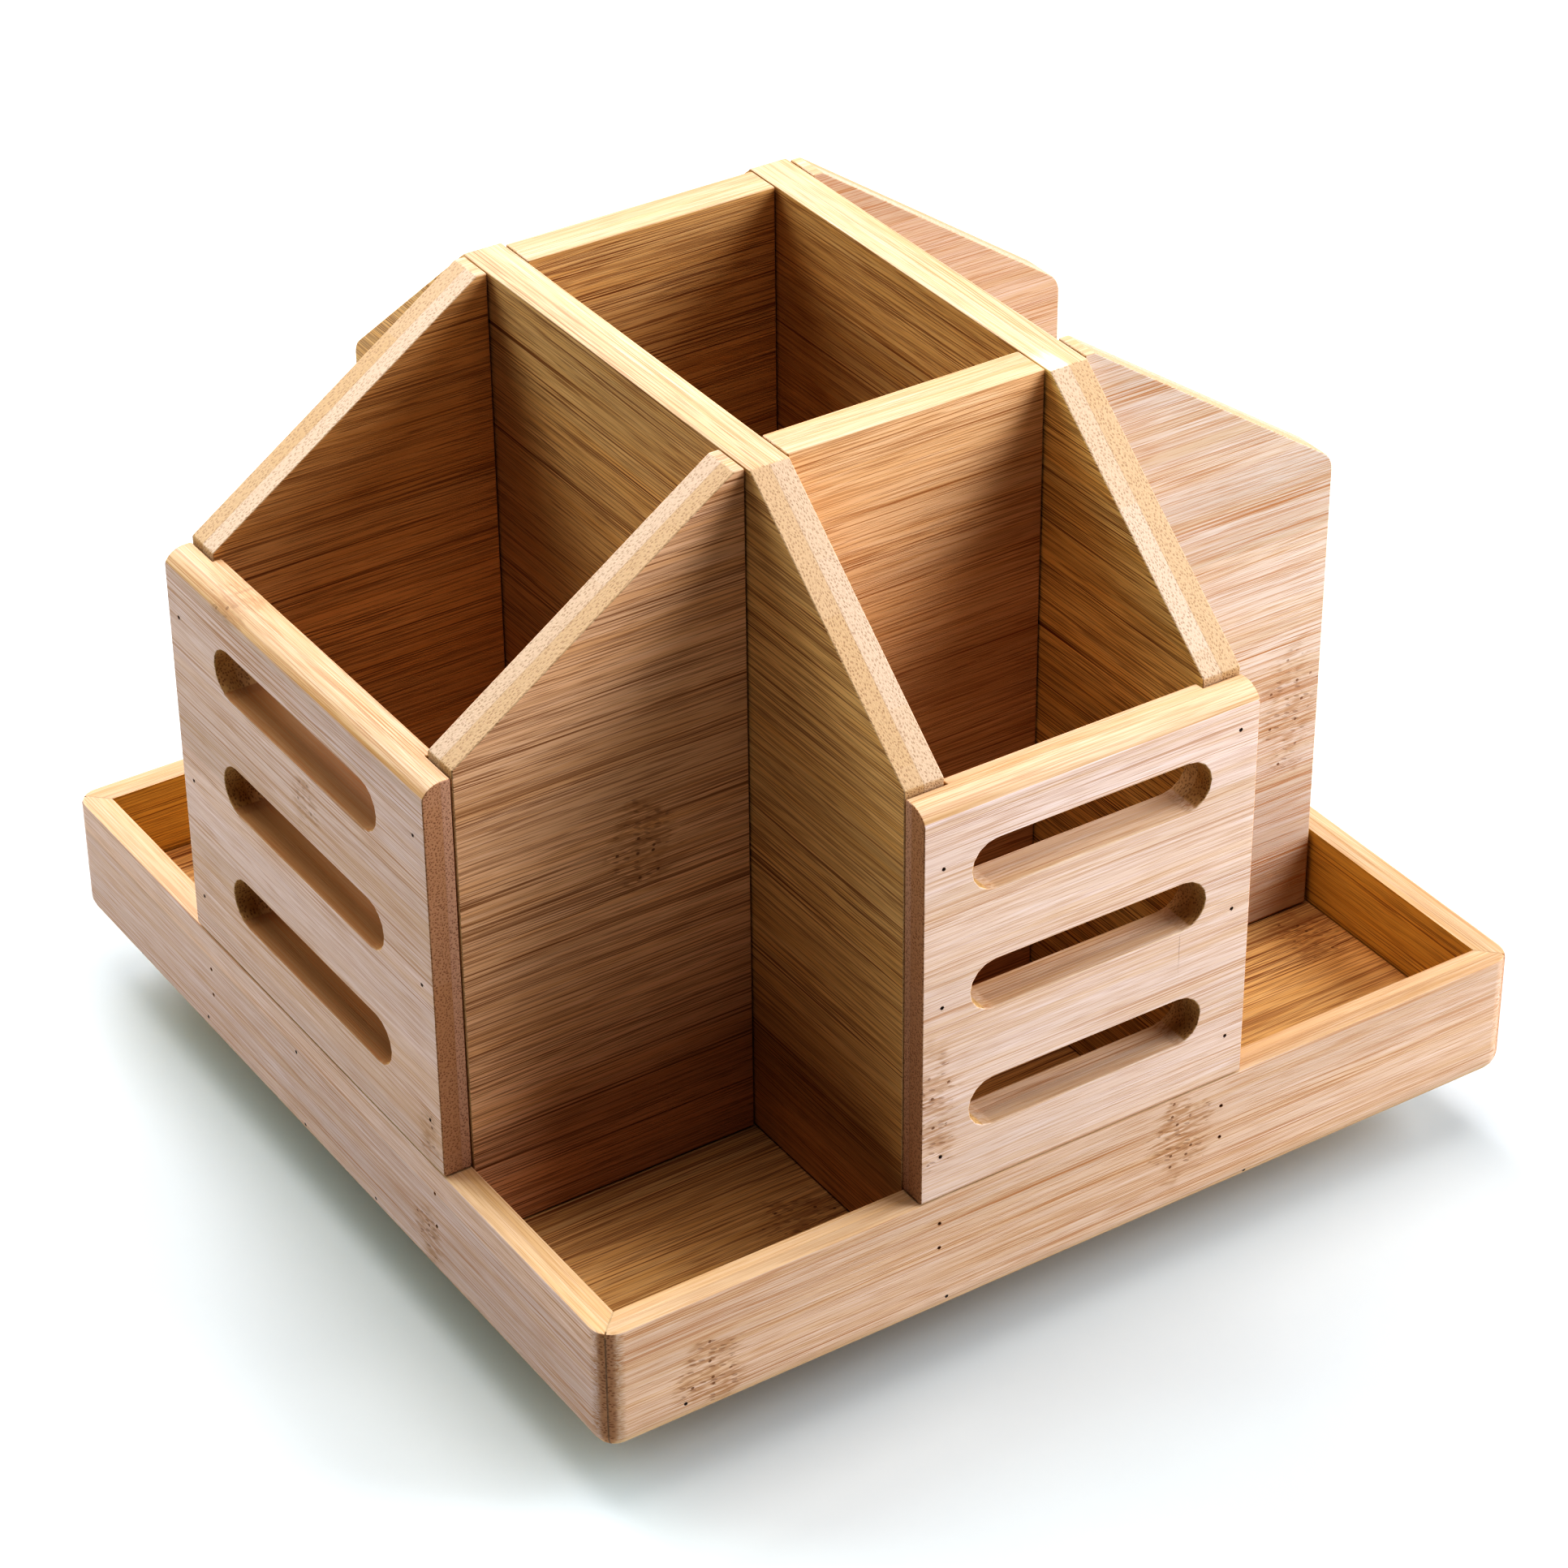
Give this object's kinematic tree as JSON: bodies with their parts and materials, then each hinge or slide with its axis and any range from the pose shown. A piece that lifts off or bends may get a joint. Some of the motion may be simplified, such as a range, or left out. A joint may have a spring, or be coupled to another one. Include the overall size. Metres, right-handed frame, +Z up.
{
  "type": "rotating desk organizer",
  "caption": "Bamboo pen and stationery holder with a shallow square tray, upright compartments and slotted sides, turning on a round base.",
  "frame": {"origin": "on the desk, on the turntable's spin axis", "axes": "+Z up, the front slotted plate faces -Y and the left one faces -X"},
  "size_m": [0.203, 0.203, 0.1664],
  "materials": {
    "bamboo": "clear satin lacquer",
    "dark_bamboo": "clear satin lacquer",
    "steel": "zinc plated",
    "rubber": "matte"
  },
  "bodies": {
    "base": {"base_disc": "dark_bamboo", "foot_1": "rubber", "foot_2": "rubber", "foot_3": "rubber", "foot_4": "rubber", "lower_bearing_plate": "steel", "lower_screw_1": "steel", "lower_screw_2": "steel", "lower_screw_3": "steel", "lower_screw_4": "steel", "centre_rivet": "steel"},
    "ball_cage": {"ball_retainer": "steel", "ball_1": "steel", "ball_2": "steel", "ball_3": "steel", "ball_4": "steel", "ball_5": "steel", "ball_6": "steel", "ball_7": "steel", "ball_8": "steel"},
    "organizer": {"front_rail": "bamboo", "right_rail": "bamboo", "back_rail": "bamboo", "left_rail": "bamboo", "tray_floor": "dark_bamboo", "left_long_panel": "bamboo", "right_long_panel": "bamboo", "front_cross_panel": "bamboo", "back_cross_panel": "bamboo", "left_front_wing": "bamboo", "left_back_wing": "bamboo", "right_front_wing": "bamboo", "right_back_wing": "bamboo", "front_slotted_plate": "bamboo", "left_slotted_plate": "bamboo", "upper_bearing_plate": "steel", "upper_screw_1": "steel", "upper_screw_2": "steel", "upper_screw_3": "steel", "upper_screw_4": "steel", "brad_1": "steel", "brad_2": "steel", "brad_3": "steel", "brad_4": "steel", "brad_5": "steel", "brad_6": "steel", "brad_7": "steel", "brad_8": "steel", "brad_9": "steel", "brad_10": "steel", "brad_11": "steel", "brad_12": "steel", "brad_13": "steel", "brad_14": "steel", "brad_15": "steel", "brad_16": "steel", "brad_17": "steel", "brad_18": "steel", "brad_19": "steel", "brad_20": "steel"}
  },
  "joints": [
    {"name": "turntable_spin", "type": "hinge", "parent": "base", "child": "organizer", "pos_m": [0, 0, 0.012], "axis": [0, 0, 1], "continuous": true},
    {"name": "ball_cage_spin", "type": "hinge", "parent": "base", "child": "ball_cage", "pos_m": [0, 0, 0.012], "axis": [0, 0, 1], "continuous": true}
  ],
  "couplings": [
    {"joint": "ball_cage_spin", "follows": "turntable_spin", "ratio": 0.5}
  ]
}
